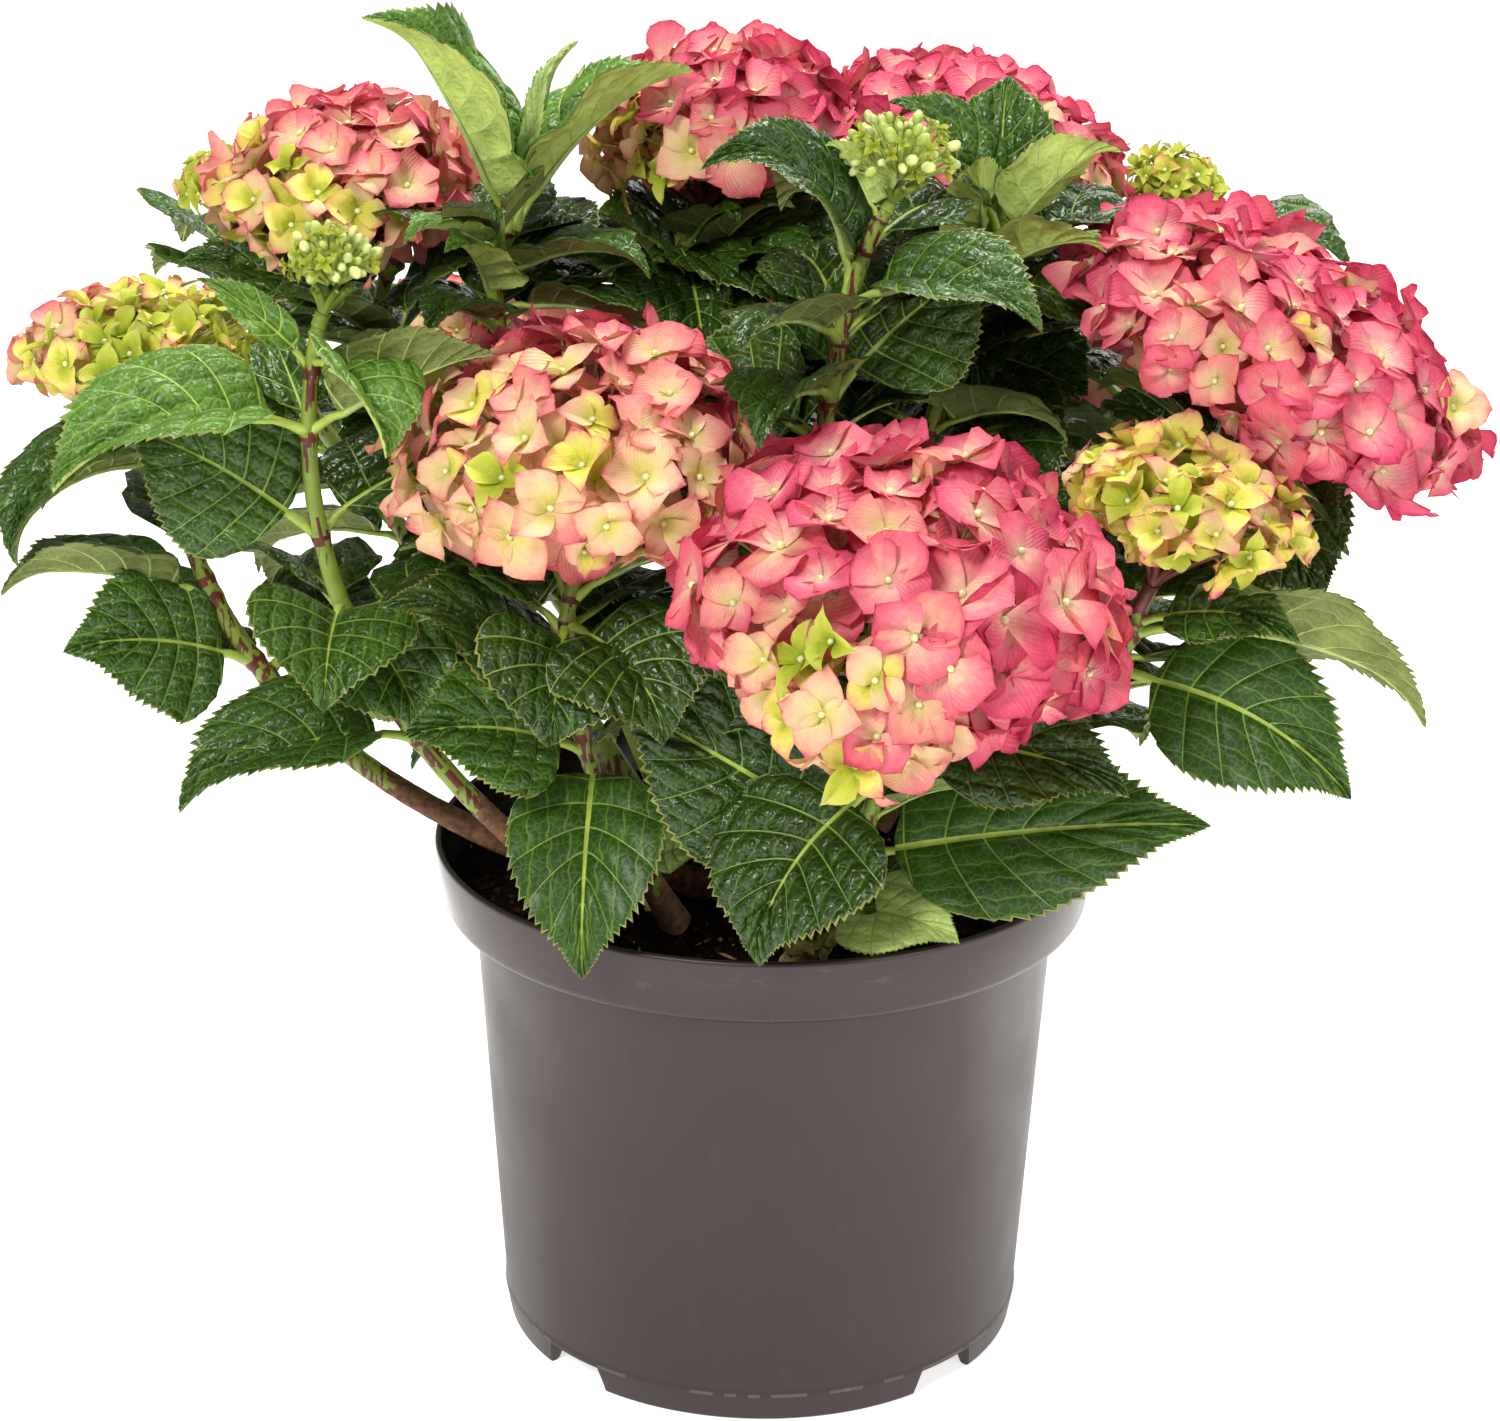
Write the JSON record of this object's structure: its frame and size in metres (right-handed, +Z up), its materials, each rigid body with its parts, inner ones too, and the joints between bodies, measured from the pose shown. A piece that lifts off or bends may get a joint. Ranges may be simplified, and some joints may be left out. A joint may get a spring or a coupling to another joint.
{
  "type": "potted hydrangea shrub",
  "caption": "Mophead hydrangea shrub with pink, salmon and lime flower heads over toothed dark green leaves, in a round nursery pot with soil.",
  "frame": {"origin": "centre of the pot's flat underside, on the pot's axis", "axes": "+Z up along the pot's axis; -Y is the side that the largest front flower head faces; +X to that viewer's right"},
  "size_m": [0.4876, 0.4462, 0.475],
  "materials": {
    "pot_plastic": "moulded charcoal-brown polypropylene, soft sheen",
    "potting_soil": "moist dark peat mix, matt",
    "old_wood": "grey-brown fibrous bark",
    "green_stem": "light green stem with maroon nodes and specks, satin",
    "leaf": "dark glossy green above, paler and matt below",
    "bloom_pink": "strong pink sepals with cream eyes",
    "bloom_cream": "cream and salmon sepals with pink edges",
    "bloom_lime": "lime to cream young sepals with pink edges",
    "bud_green": "tight lime-green flower buds"
  },
  "bodies": {
    "root": {"pot": "pot_plastic", "soil": "potting_soil", "stump": "old_wood", "bough_left": "green_stem", "leaves_left": "leaf", "head_left": "bud_green", "bough_far_left": "green_stem", "leaves_far_left": "leaf", "head_far_left": "bloom_lime", "bough_mid_left": "green_stem", "leaves_mid_left": "leaf", "head_mid_left": "bloom_cream", "bough_front": "green_stem", "leaves_front": "leaf", "head_front": "bloom_pink", "bough_mid": "green_stem", "leaves_mid": "leaf", "head_mid": "bud_green", "bough_upper_left": "green_stem", "leaves_upper_left": "leaf", "bough_back_left": "green_stem", "leaves_back_left": "leaf", "head_back_left": "bloom_cream", "bough_top": "green_stem", "leaves_top": "leaf", "head_top": "bloom_pink", "bough_upper_right": "green_stem", "leaves_upper_right": "leaf", "bough_top_right": "green_stem", "leaves_top_right": "leaf", "head_top_right": "bloom_pink", "bough_right": "green_stem", "leaves_right": "leaf", "head_right": "bloom_pink", "bough_low_right": "green_stem", "leaves_low_right": "leaf", "head_low_right": "bloom_lime", "bough_far_right": "green_stem", "leaves_far_right": "leaf", "head_far_right": "bloom_lime", "bough_far_back_left": "green_stem", "leaves_far_back_left": "leaf", "head_far_back_left": "bloom_lime", "bough_rear_left": "green_stem", "leaves_rear_left": "leaf", "head_rear_left": "bloom_cream", "bough_rear": "green_stem", "leaves_rear": "leaf", "head_rear": "bloom_pink", "bough_rear_right": "green_stem", "leaves_rear_right": "leaf", "head_rear_right": "bloom_pink"}
  },
  "joints": []
}
